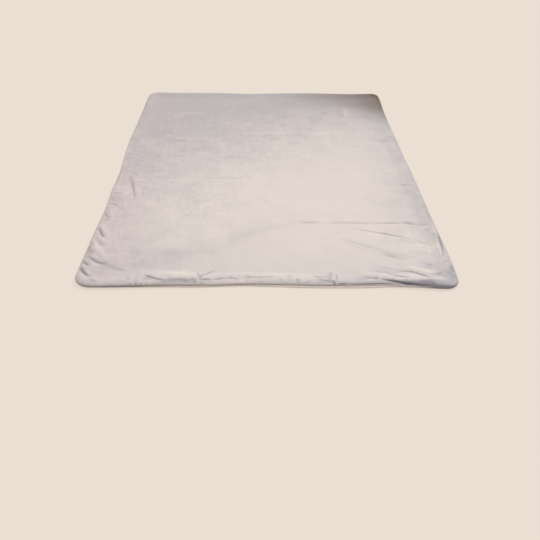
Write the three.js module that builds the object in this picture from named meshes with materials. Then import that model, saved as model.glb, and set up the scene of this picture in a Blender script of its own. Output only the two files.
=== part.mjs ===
// Earthing blanket, laid out flat: two panels of short-pile plush, sewn right sides together round
// the edge, turned out, and closed by hand in the middle of the near short side.
// The face panel rolls over the edge down to the seam. The back panel lies on the ground and shows
// below the seam as a thin lip.
// Millimetres, +Z up, long sides along Y, near short side at -Y. The origin is on the ground, below
// the middle of the blanket.

import * as THREE from 'three';

// Driving dimensions
const WIDTH = 1500;
const LENGTH = 2000;
const CLOTH = 3; // one panel with its pile
const CLEARANCE = 0.3; // between the panels where one lies on the other

// Rolled edge, where both panels lie on their turned-in allowances
const SEAM_HEIGHT = 6;
const CREST_HEIGHT = 15;
const ROLL_REACH = 14; // from the roll's outermost point in to its crest
const ROLL_START = THREE.MathUtils.degToRad(-50); // seam's place on the roll's arc
const ROLL_STRIP = 26; // width of face panel in the arc from seam to crest
const EDGE_BAND = 90; // from the outline in to where the face panel lies flat
const LIP_STEP = 10; // back panel's lip beyond the roll where it shows most
const LIP_TUCK = 5; // the lip's place inside the outline where the roll hangs over it
const LIP_REACH = 5; // from the lip's outermost point in to its top
const LIP_STRIP = 14; // width of back panel in the arc from the ground to the lip's top
const ALLOWANCE = { full: 34, gone: 46 }; // turned-in cloth below the seam: full depth, none left
const HEM = { full: 48, gone: 66 }; // turned-in cloth above the seam: full depth, none left

// Corner radii, each as that corner lies
const CORNERS = [
  { name: 'near_left', sideX: -1, sideY: -1, radius: 72 },
  { name: 'near_right', sideX: 1, sideY: -1, radius: 76 },
  { name: 'far_left', sideX: -1, sideY: 1, radius: 66 },
  { name: 'far_right', sideX: 1, sideY: 1, radius: 48 },
];

// Waves of the outline: a stretch of a side that lies further out (or in, if negative)
const OUTLINE_WAVES = [
  { side: 'left', at: 290, reach: 220, out: 8 },
  { side: 'left', at: -110, reach: 130, out: -6 },
  { side: 'left', at: -430, reach: 120, out: -5 },
  { side: 'left', at: -800, reach: 170, out: 5 },
  { side: 'left', at: -910, reach: 90, out: 4 },
  { side: 'right', at: 930, reach: 150, out: 8 },
  { side: 'right', at: 560, reach: 150, out: -3 },
  { side: 'right', at: -140, reach: 160, out: 3 },
  { side: 'right', at: -860, reach: 90, out: 4 },
  { side: 'far', at: -560, reach: 260, out: -11 },
  { side: 'far', at: -110, reach: 130, out: -14 },
  { side: 'far', at: 300, reach: 150, out: 5 },
  { side: 'far', at: 700, reach: 90, out: 7 },
  { side: 'near', at: -640, reach: 90, out: 2 },
  { side: 'near', at: -370, reach: 150, out: -3 },
  { side: 'near', at: -100, reach: 120, out: -10 },
  { side: 'near', at: 60, reach: 90, out: -4 },
  { side: 'near', at: 470, reach: 80, out: -5 },
  { side: 'near', at: 690, reach: 80, out: 8 },
];
const WAVE_DEPTH = 260; // how far in from its side a wave is felt

// Places where the edge's roll changes: more lift and reach, and how far it hangs over the lip
const EDGE_PLACES = [
  { name: 'near_left', x: -620, y: -1000, spanX: 210, spanY: 160, lift: 1, widen: 0, overhang: 0.9 },
  { name: 'left_side', x: -750, y: -300, spanX: 120, spanY: 420, lift: -1, widen: 0, overhang: 0.5 },
  { name: 'left_far', x: -750, y: 600, spanX: 120, spanY: 420, lift: 0, widen: 0, overhang: 0.5 },
  { name: 'near_right', x: 620, y: -1000, spanX: 150, spanY: 120, lift: 5, widen: 22, overhang: 1 },
  { name: 'right_side', x: 750, y: -400, spanX: 120, spanY: 420, lift: 0, widen: 4, overhang: 0.6 },
  { name: 'right_far', x: 750, y: 600, spanX: 120, spanY: 420, lift: -1, widen: 2, overhang: 0.5 },
  { name: 'far_side', x: 0, y: 1000, spanX: 620, spanY: 120, lift: -2, widen: 2, overhang: 0.6 },
];

// Broad low swells, where the face panel lies free of the back panel
const SWELLS = [
  { x: -430, y: -640, spanX: 260, spanY: 120, turn: 8, lift: 4.5 },
  { x: 40, y: -480, spanX: 260, spanY: 110, turn: 24, lift: 3.5 },
  { x: 560, y: -740, spanX: 150, spanY: 70, turn: -20, lift: 4 },
  { x: 480, y: -480, spanX: 240, spanY: 60, turn: 0, lift: 3 },
  { x: -640, y: -270, spanX: 60, spanY: 170, turn: 12, lift: 4 },
  { x: -330, y: -60, spanX: 300, spanY: 90, turn: -3, lift: 2.5 },
  { x: 420, y: 60, spanX: 240, spanY: 200, turn: 20, lift: 3 },
  { x: -380, y: 470, spanX: 260, spanY: 150, turn: -12, lift: 3 },
  { x: 250, y: 560, spanX: 260, spanY: 140, turn: 10, lift: 3.5 },
  { x: -120, y: 820, spanX: 300, spanY: 90, turn: 4, lift: 3 },
];

// Creases: soft ridges from one end to the other, bowed to the left of their way by "bow"
const CREASES = [
  { name: 'left_1', fromX: -758, fromY: -545, toX: -688, toY: -690, bow: -4, half: 11, height: 4 },
  { name: 'left_2', fromX: -760, fromY: -615, toX: -685, toY: -735, bow: -4, half: 10, height: 3.5 },
  { name: 'left_long', fromX: -762, fromY: -685, toX: -575, toY: -893, bow: -20, half: 14, height: 5 },
  { name: 'left_4', fromX: -762, fromY: -785, toX: -692, toY: -880, bow: -3, half: 10, height: 3.5 },
  { name: 'left_5', fromX: -762, fromY: -835, toX: -675, toY: -935, bow: -4, half: 11, height: 4 },
  { name: 'left_corner', fromX: -755, fromY: -900, toX: -672, toY: -972, bow: -12, half: 10, height: 3 },
  { name: 'left_side', fromX: -668, fromY: -130, toX: -606, toY: -385, bow: 5, half: 13, height: 4.5 },
  { name: 'near_left', fromX: -520, fromY: -908, toX: -250, toY: -938, bow: 6, half: 16, height: 4 },
  { name: 'near_middle', fromX: -290, fromY: -928, toX: 120, toY: -935, bow: 0, half: 12, height: 2 },
  { name: 'near_right', fromX: 350, fromY: -905, toX: 735, toY: -948, bow: -6, half: 20, height: 5 },
  { name: 'right_2', fromX: 420, fromY: -878, toX: 600, toY: -916, bow: -4, half: 11, height: 3 },
  { name: 'right_3', fromX: 540, fromY: -862, toX: 668, toY: -925, bow: 6, half: 12, height: 3.5 },
  { name: 'right_upper', fromX: 395, fromY: -590, toX: 650, toY: -680, bow: 4, half: 13, height: 4 },
  { name: 'right_lower', fromX: 290, fromY: -655, toX: 560, toY: -800, bow: 6, half: 12, height: 3 },
  { name: 'right_rim', fromX: 742, fromY: -520, toX: 712, toY: -820, bow: 4, half: 9, height: 3 },
  { name: 'packing_near', fromX: 150, fromY: -541, toX: 745, toY: -541, bow: 0, half: 15, height: 2.5 },
  { name: 'packing_middle', fromX: -690, fromY: -134, toX: 150, toY: -138, bow: 0, half: 16, height: 2 },
  { name: 'packing_far', fromX: -500, fromY: 352, toX: 320, toY: 348, bow: 0, half: 18, height: 2 },
];

// Grid lines across the panels: the strips of the edge band, measured in from the outline, and
// the field between the bands in stretches of even steps
const EDGE_LINES = [0, 5, 10, 15, 20, 26, 33, 41, 50, 62, 75, EDGE_BAND];
const FACE_FIELD_X = [
  { to: -600, step: 14 },
  { to: 330, step: 50 },
  { to: 660, step: 30 },
];
const FACE_FIELD_Y = [
  { to: -520, step: 18 },
  { to: -120, step: 34 },
  { to: 910, step: 66 },
];
const BACK_FIELD_X = [{ to: 660, step: 120 }];
const BACK_FIELD_Y = [{ to: 910, step: 130 }];

const { lerp, smoothstep, degToRad } = THREE.MathUtils;

/** Bell curve: 1 in the middle, falling off smoothly over one span. */
const bell = (distance, span) => Math.exp(-((distance / span) ** 2));

/**
 * Where a spot of the flat panel lies in plan. Squares about a corner's inner point become
 * circles, which rounds the corner and keeps each spot's distance from the edge.
 */
function placeInPlan(x, y) {
  const sideX = x < 0 ? -1 : 1;
  const sideY = y < 0 ? -1 : 1;
  const fromSide = WIDTH / 2 - Math.abs(x);
  const fromEnd = LENGTH / 2 - Math.abs(y);
  const { radius } = CORNERS.find((corner) => corner.sideX === sideX && corner.sideY === sideY);
  if (fromSide >= radius || fromEnd >= radius) {
    const besideLongSide = fromSide < fromEnd;
    return {
      x,
      y,
      inset: Math.min(fromSide, fromEnd),
      outX: besideLongSide ? sideX : 0,
      outY: besideLongSide ? 0 : sideY,
    };
  }
  const across = radius - fromSide;
  const along = radius - fromEnd;
  const ring = Math.max(across, along);
  const quarter = Math.PI / 4;
  const turn = across >= along ? quarter * (along / across) : quarter * (2 - across / along);
  return {
    x: sideX * (WIDTH / 2 - radius + ring * Math.cos(turn)),
    y: sideY * (LENGTH / 2 - radius + ring * Math.sin(turn)),
    inset: radius - ring,
    outX: sideX * Math.cos(turn),
    outY: sideY * Math.sin(turn),
  };
}

/** How far the outline's waves push a spot out of or into the plain rectangle. */
function waveAt(x, y) {
  const shift = { x: 0, y: 0 };
  for (const { side, at, reach, out } of OUTLINE_WAVES) {
    const sign = side === 'left' || side === 'near' ? -1 : 1;
    if (side === 'left' || side === 'right') {
      shift.x += sign * out * bell(y - at, reach) * bell(x - (sign * WIDTH) / 2, WAVE_DEPTH);
    } else {
      shift.y += sign * out * bell(x - at, reach) * bell(y - (sign * LENGTH) / 2, WAVE_DEPTH);
    }
  }
  return shift;
}

/** The roll near a spot: crest height, reach, and how far it hangs over the lip, 0 to 1. */
function rollAt(x, y) {
  const roll = { crest: CREST_HEIGHT, reach: ROLL_REACH, overhang: 0 };
  for (const place of EDGE_PLACES) {
    const near = bell(x - place.x, place.spanX) * bell(y - place.y, place.spanY);
    roll.crest += place.lift * near;
    roll.reach += place.widen * near;
    roll.overhang += place.overhang * near;
  }
  roll.overhang = Math.min(roll.overhang, 1);
  return roll;
}

/** Height of the broad swells over a spot. */
function swellAt(x, y) {
  let height = 0;
  for (const swell of SWELLS) {
    const turn = degToRad(swell.turn);
    const along = (x - swell.x) * Math.cos(turn) + (y - swell.y) * Math.sin(turn);
    const across = (y - swell.y) * Math.cos(turn) - (x - swell.x) * Math.sin(turn);
    height += swell.lift * bell(along, swell.spanX) * bell(across, swell.spanY);
  }
  return height;
}

/** Height of the creases over a spot. Each fades out towards both of its ends. */
function creaseAt(x, y) {
  let height = 0;
  for (const crease of CREASES) {
    const wayX = crease.toX - crease.fromX;
    const wayY = crease.toY - crease.fromY;
    const length = Math.hypot(wayX, wayY);
    const share = ((x - crease.fromX) * wayX + (y - crease.fromY) * wayY) / length ** 2;
    if (share <= 0 || share >= 1) continue;
    const arch = 4 * share * (1 - share);
    const aside = ((y - crease.fromY) * wayX - (x - crease.fromX) * wayY) / length;
    height += crease.height * Math.sqrt(arch) * bell(aside - crease.bow * arch, crease.half);
  }
  return height;
}

/** A spot at another inset and height, carried along by the outline's waves. */
function settle(spot, inset, height) {
  const wave = waveAt(spot.x, spot.y);
  const move = spot.inset - inset;
  return new THREE.Vector3(
    spot.x + spot.outX * move + wave.x,
    spot.y + spot.outY * move + wave.y,
    height,
  );
}

/** Upper side of the face panel: round the roll from the seam to the crest, then down to the field. */
function faceTop(x, y) {
  const spot = placeInPlan(x, y);
  const roll = rollAt(spot.x, spot.y);
  const rollOut = LIP_STEP * (1 - roll.overhang);
  const field = CLEARANCE + 2 * CLOTH;
  const relief = swellAt(spot.x, spot.y) + creaseAt(spot.x, spot.y);
  if (spot.inset < ROLL_STRIP) {
    const share = spot.inset / ROLL_STRIP;
    const turn = lerp(ROLL_START, Math.PI / 2, share);
    const reach = turn < 0 ? ROLL_REACH : roll.reach;
    const rise = (roll.crest - SEAM_HEIGHT) / (1 - Math.sin(ROLL_START));
    const height = roll.crest - rise * (1 - Math.sin(turn));
    return settle(spot, rollOut + reach * (1 - Math.cos(turn)), height + relief * share ** 2);
  }
  const share = Math.min((spot.inset - ROLL_STRIP) / (EDGE_BAND - ROLL_STRIP), 1);
  const inset = share < 1 ? lerp(rollOut + roll.reach, EDGE_BAND, share) : spot.inset;
  return settle(spot, inset, lerp(roll.crest, field, smoothstep(share, 0, 1)) + relief);
}

/** Under side of the face panel: level below the turned-in hem, then lifted by the swells alone. */
function faceUnder(x, y) {
  const spot = placeInPlan(x, y);
  const { overhang } = rollAt(spot.x, spot.y);
  const seamInset = LIP_STEP * (1 - overhang) + ROLL_REACH * (1 - Math.cos(ROLL_START));
  const share = Math.min(spot.inset / HEM.full, 1);
  const inset = share < 1 ? lerp(seamInset, HEM.full, share) : spot.inset;
  const fall = smoothstep(spot.inset, HEM.full, HEM.gone);
  const lowest = lerp(SEAM_HEIGHT, CLOTH + CLEARANCE, fall);
  const free = smoothstep(spot.inset, HEM.gone, 2 * HEM.gone);
  return settle(spot, inset, lowest + swellAt(spot.x, spot.y) * free);
}

/** Upper side of the back panel: up round the lip, level over the allowance, down to the field. */
function backTop(x, y) {
  const spot = placeInPlan(x, y);
  const { overhang } = rollAt(spot.x, spot.y);
  const lipOut = LIP_TUCK * overhang;
  const lipTop = SEAM_HEIGHT - CLEARANCE;
  if (spot.inset < LIP_STRIP) {
    const turn = lerp(-Math.PI / 2, Math.PI / 2, spot.inset / LIP_STRIP);
    const height = (lipTop / 2) * (1 + Math.sin(turn));
    return settle(spot, lipOut + LIP_REACH * (1 - Math.cos(turn)), height);
  }
  const share = Math.min((spot.inset - LIP_STRIP) / (ALLOWANCE.full - LIP_STRIP), 1);
  const inset = share < 1 ? lerp(lipOut + LIP_REACH, ALLOWANCE.full, share) : spot.inset;
  const fall = smoothstep(spot.inset, ALLOWANCE.full, ALLOWANCE.gone);
  return settle(spot, inset, lerp(lipTop, CLOTH, fall));
}

/** Under side of the back panel: flat on the ground. */
function backUnder(x, y) {
  const spot = placeInPlan(x, y);
  const { overhang } = rollAt(spot.x, spot.y);
  const share = Math.min(spot.inset / ALLOWANCE.full, 1);
  const inset = share < 1 ? lerp(LIP_TUCK * overhang + LIP_REACH, ALLOWANCE.full, share) : spot.inset;
  return settle(spot, inset, 0);
}

/** Grid lines across a panel, outline to outline, always an odd number of them. */
function gridLines(size, field) {
  const lines = EDGE_LINES.map((inset) => inset - size / 2);
  for (const { to, step } of field) {
    const from = lines[lines.length - 1];
    const steps = Math.round((to - from) / step);
    for (let k = 1; k <= steps; k += 1) lines.push(lerp(from, to, k / steps));
  }
  lines.push(...EDGE_LINES.slice(0, -1).map((inset) => size / 2 - inset).reverse());
  if (lines.length % 2 === 0) {
    const middle = EDGE_LINES.length;
    lines.splice(middle, 0, (lines[middle - 1] + lines[middle]) / 2);
  }
  return lines;
}

/**
 * Closed solid of a panel between its upper and its under side. The upper side has a point at every
 * crossing of the grid lines, the under side at every second one, and the outline belongs to both.
 */
function panelGeometry(linesX, linesY, upper, under) {
  const lastX = linesX.length - 1;
  const lastY = linesY.length - 1;
  const points = [];
  const faces = [];
  const upperAt = new Map();
  const underAt = new Map();
  const key = (i, j) => j * linesX.length + i;
  const put = (table, i, j, surface) => {
    table.set(key(i, j), points.length);
    points.push(surface(linesX[i], linesY[j]));
  };
  for (let j = 0; j <= lastY; j += 1) {
    for (let i = 0; i <= lastX; i += 1) put(upperAt, i, j, upper);
  }
  for (let j = 2; j < lastY; j += 2) {
    for (let i = 2; i < lastX; i += 2) put(underAt, i, j, under);
  }
  const up = (i, j) => upperAt.get(key(i, j));
  const down = (i, j) => underAt.get(key(i, j));

  // Each cell is cut along its shorter diagonal
  const addCell = (a, b, c, d) => {
    if (points[a].distanceTo(points[c]) <= points[b].distanceTo(points[d])) {
      faces.push(a, b, c, a, c, d);
    } else {
      faces.push(a, b, d, b, c, d);
    }
  };
  for (let j = 0; j < lastY; j += 1) {
    for (let i = 0; i < lastX; i += 1) addCell(up(i, j), up(i + 1, j), up(i + 1, j + 1), up(i, j + 1));
  }
  for (let j = 2; j < lastY - 2; j += 2) {
    for (let i = 2; i < lastX - 2; i += 2) {
      addCell(down(i, j), down(i, j + 2), down(i + 2, j + 2), down(i + 2, j));
    }
  }

  // The strip that joins the under side to the outline: three faces a step along each side
  const joinStep = (inner, innerNext, edge, edgeMiddle, edgeNext) => {
    faces.push(inner, edgeMiddle, edge, inner, innerNext, edgeMiddle, innerNext, edgeNext, edgeMiddle);
  };
  for (let i = 2; i < lastX - 2; i += 2) {
    const back = i + 2;
    joinStep(down(i, 2), down(back, 2), up(i, 0), up(i + 1, 0), up(back, 0));
    joinStep(down(back, lastY - 2), down(i, lastY - 2), up(back, lastY), up(i + 1, lastY), up(i, lastY));
  }
  for (let j = 2; j < lastY - 2; j += 2) {
    const next = j + 2;
    joinStep(down(lastX - 2, j), down(lastX - 2, next), up(lastX, j), up(lastX, j + 1), up(lastX, next));
    joinStep(down(2, next), down(2, j), up(0, next), up(0, j + 1), up(0, j));
  }
  const joinCorner = (inner, ring) => {
    for (let k = 0; k + 1 < ring.length; k += 1) faces.push(inner, ring[k + 1], ring[k]);
  };
  const left = [0, 1, 2];
  const right = [lastX, lastX - 1, lastX - 2];
  const near = [0, 1, 2];
  const far = [lastY, lastY - 1, lastY - 2];
  const alongX = (columns, j) => columns.map((i) => up(i, j));
  const alongY = (i, rows) => rows.map((j) => up(i, j));
  joinCorner(down(2, 2), [...alongY(0, near).reverse(), ...alongX(left, 0).slice(1)]);
  joinCorner(down(lastX - 2, 2), [...alongX(right, 0).reverse(), ...alongY(lastX, near).slice(1)]);
  joinCorner(down(lastX - 2, lastY - 2), [...alongY(lastX, far).reverse(), ...alongX(right, lastY).slice(1)]);
  joinCorner(down(2, lastY - 2), [...alongX(left, lastY).reverse(), ...alongY(0, far).slice(1)]);

  const geometry = new THREE.BufferGeometry().setFromPoints(points);
  geometry.setIndex(faces);
  geometry.computeVertexNormals();
  return geometry;
}

const facePlush = new THREE.MeshStandardMaterial({ color: 0xd8d0ca, roughness: 0.95, metalness: 0 });
const backPlush = new THREE.MeshStandardMaterial({ color: 0xdcd4cc, roughness: 0.95, metalness: 0 });

const facePanel = new THREE.Mesh(
  panelGeometry(gridLines(WIDTH, FACE_FIELD_X), gridLines(LENGTH, FACE_FIELD_Y), faceTop, faceUnder),
  facePlush,
);
facePanel.name = 'face_panel';

const backPanel = new THREE.Mesh(
  panelGeometry(gridLines(WIDTH, BACK_FIELD_X), gridLines(LENGTH, BACK_FIELD_Y), backTop, backUnder),
  backPlush,
);
backPanel.name = 'back_panel';

// The waves leave the outline a little off centre, so the blanket is moved onto its origin
const blanket = new THREE.Group();
blanket.add(backPanel, facePanel);
const middle = new THREE.Box3().setFromObject(blanket).getCenter(new THREE.Vector3());
blanket.position.set(-middle.x, -middle.y, 0);

export default blanket;
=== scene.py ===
"""Earthing blanket: two panels of short-pile plush, sewn together round the edge and laid out flat.

The face panel rolls over the edge down to the seam, and the back panel shows below the seam as a
thin lip. The near short side, sewn up by hand in its middle third, is at -Y. Metres, +Z up. Only
the tables inside in_metres() are in millimetres.
"""

import math

import bpy
import numpy as np
from mathutils import Matrix, Vector


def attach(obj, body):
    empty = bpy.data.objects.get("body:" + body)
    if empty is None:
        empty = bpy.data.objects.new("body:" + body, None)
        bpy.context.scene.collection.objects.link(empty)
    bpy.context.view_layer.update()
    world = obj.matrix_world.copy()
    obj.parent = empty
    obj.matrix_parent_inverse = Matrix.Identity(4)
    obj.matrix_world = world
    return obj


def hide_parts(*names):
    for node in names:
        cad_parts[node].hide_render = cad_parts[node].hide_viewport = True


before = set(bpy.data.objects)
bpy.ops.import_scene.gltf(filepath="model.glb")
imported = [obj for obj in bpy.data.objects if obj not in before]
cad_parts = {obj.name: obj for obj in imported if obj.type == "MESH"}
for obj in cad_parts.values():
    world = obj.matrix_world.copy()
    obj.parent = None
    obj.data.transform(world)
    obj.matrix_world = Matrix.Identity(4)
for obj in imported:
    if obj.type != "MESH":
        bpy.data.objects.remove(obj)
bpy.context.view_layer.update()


def in_metres(rows, first=0, last=None):
    """A table in metres: its columns from first up to last are lengths in millimetres."""
    table = []
    for row in rows:
        end = len(row) if last is None else last
        lengths = (length / 1000 for length in row[first:end])
        table.append((*row[:first], *lengths, *row[end:]))
    return table


# Driving dimensions
WIDTH = 1.5
LENGTH = 2.0
CLOTH = 0.003  # one panel with its pile
CLEARANCE = 0.0003  # between the panels where one lies on the other
BODY = "root"

# Rolled edge, where both panels lie on their turned-in allowances
SEAM_HEIGHT = 0.006
SEAM_DROOP = 0.002  # how much lower the seam lies where the roll hangs over the lip
CREST_HEIGHT = 0.015
ROLL_REACH = 0.014  # from the roll's outermost point in to its crest
ROLL_START = math.radians(-24)  # seam's place on the roll's arc
ROLL_DROOP = math.radians(-30)  # how much further round the arc it lies where the roll hangs over
ROLL_STRIP = 0.026  # width of face panel in the arc from seam to crest
EDGE_BAND = 0.090  # from the outline in to where the face panel lies flat
LIP_STEP = 0.010  # back panel's lip beyond the roll where it shows most
LIP_TUCK = 0.005  # the lip's place inside the outline where the roll hangs over it
LIP_REACH = 0.005  # from the lip's outermost point in to its top
LIP_STRIP = 0.014  # width of back panel in the arc from the ground to the lip's top
ALLOWANCE_FULL, ALLOWANCE_GONE = 0.034, 0.046  # turned-in cloth below the seam
HEM_FULL, HEM_GONE = 0.048, 0.066  # turned-in cloth above the seam

# Corner radii, each as that corner lies
CORNER_RADIUS = {"near_left": 0.064, "near_right": 0.052, "far_left": 0.066, "far_right": 0.048}

LONG_SIDES = ("left", "right")
OUTWARD = {"left": -1, "right": 1, "near": -1, "far": 1}  # sign of the way out over each side

# Waves of the outline: side, place along it, reach, and how far out that stretch lies
OUTLINE_WAVES = in_metres([
    ("left", 290, 220, 8),
    ("left", -110, 130, -6),
    ("left", -430, 120, -5),
    ("left", -800, 170, 5),
    ("left", -910, 90, 4),
    ("right", 930, 150, 8),
    ("right", 560, 150, -3),
    ("right", -140, 160, 3),
    ("right", -860, 90, 2),
    ("right", -740, 90, 4),
    ("right", -960, 65, -11),
    ("far", -560, 260, -8),
    ("far", -110, 130, -14),
    ("far", 300, 150, 5),
    ("far", 700, 90, 7),
    ("near", -640, 90, 2),
    ("near", -370, 150, -3),
    ("near", -100, 120, -10),
    ("near", 60, 90, -4),
    ("near", 470, 80, -5),
    ("near", 690, 80, 8),
], first=1)
WAVE_DEPTH = 0.260  # how far in from its side a wave is felt

# Places where the edge's roll changes: x, y, span x, span y, more lift, more reach, overhang
EDGE_PLACES = in_metres([
    (-620, -1000, 210, 160, 1, 0, 0.9),
    (-750, -300, 120, 420, -1, 0, 0.5),
    (-750, 600, 120, 420, 0, 0, 0.5),
    (620, -1000, 150, 120, 5, 22, 1),
    (-150, -1000, 150, 80, 0, 0, 0.3),
    (735, -945, 60, 60, 0, 0, 0.5),
    (750, -400, 120, 420, 0, 4, 0.6),
    (750, 600, 120, 420, -1, 2, 0.5),
    (0, 1000, 620, 120, -2, 2, 0.6),
], last=6)

# Broad low swells where the face panel lies free: x, y, span x, span y, lift and, where it isn't
# 0, turn in degrees
SWELLS = in_metres([
    (-430, -640, 260, 120, 4.5, 8),
    (40, -480, 260, 110, 3.5, 24),
    (560, -740, 150, 70, 4, -20),
    (480, -480, 240, 60, 3),
    (-640, -270, 60, 170, 4, 12),
    (-330, -60, 300, 90, 2.5, -3),
    (420, 60, 240, 200, 3, 20),
    (-380, 470, 260, 150, 3, -12),
    (250, 560, 260, 140, 3.5, 10),
    (-120, 820, 300, 90, 3, 4),
], last=5)

# Creases, which are soft ridges: from x, from y, to x, to y, half width, height and, where it
# isn't 0, bow to the left of this way. Those of the rim run over the roll, the others lie within.
RIM_CREASES = in_metres([
    # left side, towards the near corner
    (-733, -505, -703, -572, 9, 2.4),
    (-730, -572, -682, -665, 10, 3.6, 4),
    (-729, -632, -690, -708, 9, 3.2),
    (-730, -696, -640, -842, 13, 5.2, -6),
    (-732, -806, -705, -842, 8, 2.6),
    (-714, -838, -676, -882, 9, 2.6),
    (-734, -854, -692, -924, 8, 3.4),
    (-729, -909, -692, -966, 11, 4.2, -4),
    # near side
    (-520, -908, -250, -938, 16, 3.1, 6),
    (-290, -928, 120, -935, 12, 2),
    (350, -914, 735, -956, 15, 4, -9),
    (490, -902, 612, -948, 9, 2.5, 8),
    (550, -876, 675, -916, 12, 3.5, 4),
    # right side
    (731, -520, 703, -820, 9, 3),
    (722, -862, 716, -915, 5, 2),
    (710, -951, 738, -926, 5, 1.8),
])
FIELD_CREASES = in_metres([
    (-664, -142, -600, -365, 12, 2.6),
    (420, -594, 670, -690, 13, 1.3, 2),
    (290, -654, 520, -776, 13, 0.7, 10),
    (150, -538, 745, -538, 13, 1.2),
    (-690, -134, 150, -138, 18, 1),
    (-500, 352, 320, 348, 18, 2),
])

# Grooves, dips that are also painted darker by their depth: rows as of creases, with a depth for
# the height
GROOVES = in_metres([
    # left side, towards the near corner
    (-731, -478, -703, -546, 7.5, 1.6),
    (-720, -540, -699, -554, 5.5, 1.2),
    (-728, -604, -690, -684, 5, 3.8, -2),
    (-727, -680, -680, -745, 9.5, 1.2),
    (-738, -738, -728, -766, 5, 2.4),
    (-736, -754, -705, -808, 9, 1.3),
    (-727, -803, -636, -855, 6.8, 3, -12.5),
    (-650, -852, -555, -903, 9, 0.9, -5),
    (-734, -840, -702, -881, 4.8, 3),
    (-731, -882, -688, -938, 5.4, 4.7, -7),
    (-690, -954, -655, -971, 5.5, 1.4),
    # left side, further up
    (-686, -142, -622, -362, 4.8, 1.8, 5),
    (-730, -304, -683, -313, 4.5, 1.4),
    (-724, -341, -694, -322, 4.5, 0.4),
    (-717, -402, -689, -430, 5, 0.4),
    (-728, -388, -640, -455, 9, 0.5, -6),
    (-737, -134, -732, -202, 4.5, 1.8),
    (-735, 845, -738, 655, 5, 1.2, 2),
    # near side, left part
    (-490, -926, -400, -971, 4.8, 4.4),
    (-493, -947, -438, -966, 4.5, 1),
    (-410, -966, -280, -967, 12, 1.8, 4),
    (-350, -956, -310, -973, 5, 1.2),
    (-422, -980, -394, -977, 4.5, 1),
    (-536, -974, -528, -992, 4.5, 2.2),
    (-514, -972, -510, -992, 4.5, 2.4),
    (-494, -974, -490, -992, 4.5, 2.4),
    (-470, -976, -472, -993, 4.5, 1.8),
    # near side, right part
    (366, -943, 468, -976, 4.2, 2.4, 4),
    (438, -964, 562, -986.6, 3.9, 8, -5),
    (510, -983.5, 658, -986.5, 4.2, 7.4),
    (624, -985, 730, -987.2, 4.8, 5.1),
    (278, -986, 518, -990, 3.2, 2.8, -2),
    (462, -906, 560, -953, 4.6, 3.2, -13),
    (556, -899, 634, -962, 4.2, 3, 16),
    (604, -913, 650, -961, 4.5, 2.8, 6),
    (580, -977, 660, -980, 4.5, 2.6),
    (502, -897, 584, -903, 5.5, 1.8),
    (422, -864, 520, -894, 6, 0.6),
    # near right corner, fanning out
    (645, -909, 694, -909, 5.5, 1.4),
    (730, -856, 726, -918, 5.5, 1),
    (711, -906, 734, -943, 5.5, 0.6),
    (687, -853, 729, -835, 5.5, 0.7),
    (632, -852, 665, -852, 5.5, 0.8),
    # right side and field
    (740, -596, 714, -806, 4.3, 3),
    (715, -636, 721, -684, 4.5, 0.9),
    (682, -607, 708, -612, 4.5, 1),
    (716, -405, 728, -440, 4.5, 0.8),
    (724, -460, 732, -524, 4.5, 0.9),
    (654, -199, 704, -213, 5, 1),
    (330, -580, 645, -686, 4.5, 1, 3),
    (470, -624, 585, -661, 4.2, 1.2, 1),
    (615, -672, 690, -728, 4.5, 0.8),
    (555, -679, 592, -689, 4.5, 0.8),
    (290, -667, 500, -790, 4.5, 0.6, 8),
    (305, -692, 430, -766, 4.5, 0.4),
    (474, -790, 550, -826, 6, 1),
    # packing folds across the panel
    (135, -549, 230, -549, 7.5, 0.8),
    (265, -551, 350, -552, 6, 0.6),
    (330, -551, 468, -552, 5.5, 1),
    (455, -552, 612, -551, 5.5, 1.1),
    (604, -541, 658, -562, 8, 1.5),
    (648, -558, 724, -573, 5, 1.4),
    (-655, -142, -430, -146, 6, 0.3),
    (-370, -148, -80, -146, 6, 0.3),
])

CLOSING_FROM, CLOSING_TO = -0.277, 0.252  # ends in x of the stretch sewn up by hand
# Small puckers about its ends and its middle: rows as of grooves
PUCKERS = in_metres([
    (-283, -908, -272, -958, 4, 1.6),
    (-271, -958, -254, -918, 3.8, 2.4, 2),
    (-257, -935, -220, -904, 4, 1.6, 2),
    (-274, -962, -224, -961, 5.5, 2.8),
    (-268, -966, -251, -1000, 4.5, 1),
    (-303, -943, -299, -968, 4, 1.4),
    (-293, -952, -288, -994, 4.5, 1.4),
    (-230, -962, -155, -954, 4.5, 2.4),
    (-162, -954, -118, -965, 4.5, 2.2),
    (-120, -955, 30, -946, 5.5, 1.2),
    (250, -960, 248, -1022, 5, 3.2),
    (264, -914, 260, -978, 3.6, 1.6),
    (246, -904, 243, -950, 3.8, 1.4),
    (237, -908, 234, -957, 3.6, 1.2),
    (190, -957, 252, -977, 4.5, 2.8),
    (169, -938, 219, -943, 4.8, 1.4),
    (100, -954, 116, -985, 5.5, 1.5),
    (260, -985, 298, -988, 4.5, 3.4),
])


def bell(distance, span):
    """Bell curve exp(-(distance / span)^2): 1 in the middle."""
    return np.exp(-((distance / span) ** 2))


def ease(value, start, end):
    """Smooth step 3t^2 - 2t^3, from 0 at start to 1 at end."""
    t = np.clip((value - start) / (end - start), 0, 1)
    return t * t * (3 - 2 * t)


def blend(low, high, share):
    """low where share is 0, high where it is 1, and even in between."""
    return low + (high - low) * share


def with_patches(value, x, y, patches):
    """The value with a two-way bell, turned by its degrees, added for each patch."""
    for at_x, at_y, span_x, span_y, most, *degrees in patches:
        turn = math.radians(sum(degrees))
        c, s = math.cos(turn), math.sin(turn)
        along = (x - at_x) * c + (y - at_y) * s
        across = (y - at_y) * c - (x - at_x) * s
        value = value + most * bell(along, span_x) * bell(across, span_y)
    return value


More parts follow.
